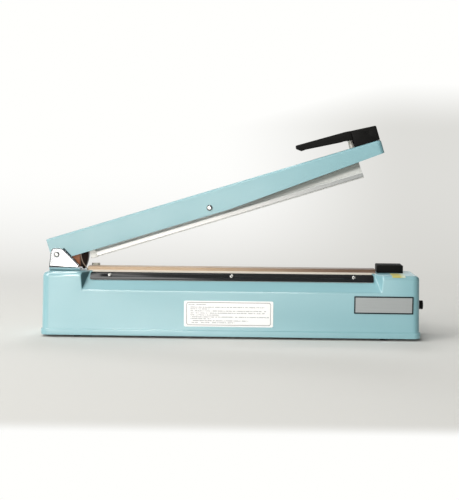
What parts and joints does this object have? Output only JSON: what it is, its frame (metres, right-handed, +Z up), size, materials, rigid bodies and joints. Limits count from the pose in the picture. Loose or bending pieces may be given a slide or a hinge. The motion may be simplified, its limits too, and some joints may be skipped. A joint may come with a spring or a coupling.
{
  "type": "impulse heat sealer",
  "caption": "Bench-top hand heat sealer: a long enamelled base with a sealing seat, a hinged pressing arm with a squeeze grip and a timer knob on the end.",
  "frame": {"origin": "middle of the bounding box's footprint, at the underside of the rubber feet", "axes": "+X along the base towards the timer knob, +Z up, front face towards -Y; the arm's hinge is at -X"},
  "size_m": [0.5326, 0.082, 0.2942],
  "materials": {
    "paint": "light blue-green gloss enamel on steel sheet",
    "bare_steel": "plain zinc-coated steel",
    "chrome": "bright nickel plating",
    "screw_steel": "bright plated steel",
    "spring_steel": "drawn spring wire",
    "rubber": "black moulded rubber",
    "phenolic": "brown pressed insulating laminate",
    "aluminium": "extruded, satin",
    "silicone": "pale grey heat-proof rubber",
    "cream_plastic": "cream heat-proof plastic",
    "glass_cloth": "tan coated glass cloth, slightly glossy",
    "black_enamel": "black gloss enamel on steel strip",
    "black_plastic": "black moulded plastic",
    "brass": "plain machined brass",
    "element_alloy": "flat resistance ribbon",
    "label_paper": "white printed film",
    "yellow_paper": "plain yellow film",
    "silver_plate": "plain silver plate",
    "laminations": "stacked varnished sheets",
    "copper_winding": "enamelled copper winding",
    "circuit_board": "green laminate",
    "lead_cover": "white heat-proof sleeve"
  },
  "bodies": {
    "base": {"base_housing": "paint", "bottom_plate": "bare_steel", "foot_front_left": "rubber", "foot_front_right": "rubber", "foot_rear_left": "rubber", "foot_rear_right": "rubber", "foot_screw_front_left": "screw_steel", "foot_screw_front_right": "screw_steel", "foot_screw_rear_left": "screw_steel", "foot_screw_rear_right": "screw_steel", "hinge_bracket": "chrome", "bracket_screw_1": "screw_steel", "bracket_screw_2": "screw_steel", "hinge_bolt": "screw_steel", "hinge_nut": "screw_steel", "lift_spring": "spring_steel", "hinge_block": "phenolic", "switch_lead": "lead_cover", "seat_bar": "aluminium", "heating_element": "element_alloy", "seal_cover": "glass_cloth", "terminal_bush_left": "cream_plastic", "terminal_bush_right": "cream_plastic", "terminal_left": "brass", "terminal_right": "brass", "clamp_strip_front": "black_enamel", "clamp_strip_rear": "black_enamel", "clamp_screw_front_1": "screw_steel", "clamp_screw_front_2": "screw_steel", "clamp_screw_front_3": "screw_steel", "clamp_screw_rear_1": "screw_steel", "clamp_screw_rear_2": "screw_steel", "clamp_screw_rear_3": "screw_steel", "terminal_cover": "black_plastic", "instruction_label": "label_paper", "name_plate": "silver_plate", "edge_sticker": "yellow_paper", "transformer_core": "laminations", "transformer_coil": "copper_winding", "transformer_strap": "bare_steel", "timer_board": "circuit_board", "timer_potentiometer": "bare_steel", "cord_gland": "rubber"},
    "arm": {"arm_channel": "paint", "handle_block": "black_plastic", "handle_screw_1": "screw_steel", "handle_screw_2": "screw_steel", "grip_pivot_pin": "screw_steel", "grip_spring": "spring_steel", "micro_switch": "black_plastic", "switch_bracket": "bare_steel", "bar_pivot_screw": "screw_steel", "bar_pivot_nut": "screw_steel"},
    "bar": {"pressing_bar": "aluminium", "silicone_strip": "silicone", "bar_end_block": "cream_plastic"},
    "grip": {"grip_lever": "black_plastic"},
    "plunger": {"switch_plunger": "screw_steel"},
    "knob": {"timer_knob": "black_plastic", "timer_shaft": "screw_steel"}
  },
  "joints": [
    {"name": "arm_hinge", "type": "hinge", "parent": "base", "child": "arm", "pos_m": [-0.24685, 0, 0.112], "axis": [0, -1, 0], "range_deg": [-16.29, 28], "stiffness_Nm_per_rad": 2.9, "springref_deg": 28.65, "deforming": ["lift_spring"]},
    {"name": "bar_rock", "type": "hinge", "parent": "arm", "child": "bar", "pos_m": [-0.03481, 0, 0.1791], "axis": [0, -1, 0], "range_deg": [-0.95, 1.6]},
    {"name": "grip_press", "type": "hinge", "parent": "arm", "child": "grip", "pos_m": [0.18131, 0, 0.28442], "axis": [0, -1, 0], "range_deg": [0, 4], "stiffness_Nm_per_rad": 0.8, "springref_deg": -2.86, "deforming": ["grip_spring"]},
    {"name": "plunger_slide", "type": "slide", "parent": "arm", "child": "plunger", "axis": [0.2957, 0, -0.9553], "range_m": [0, 0.002]},
    {"name": "timer_turn", "type": "hinge", "parent": "base", "child": "knob", "pos_m": [0.25765, 0, 0.0456], "axis": [-1, 0, 0], "range_deg": [0, 300]}
  ],
  "couplings": [
    {"joint": "bar_rock", "follows": "arm_hinge", "ratio": 0.0562},
    {"joint": "plunger_slide", "follows": "grip_press", "m_per_rad": 0.0275}
  ]
}
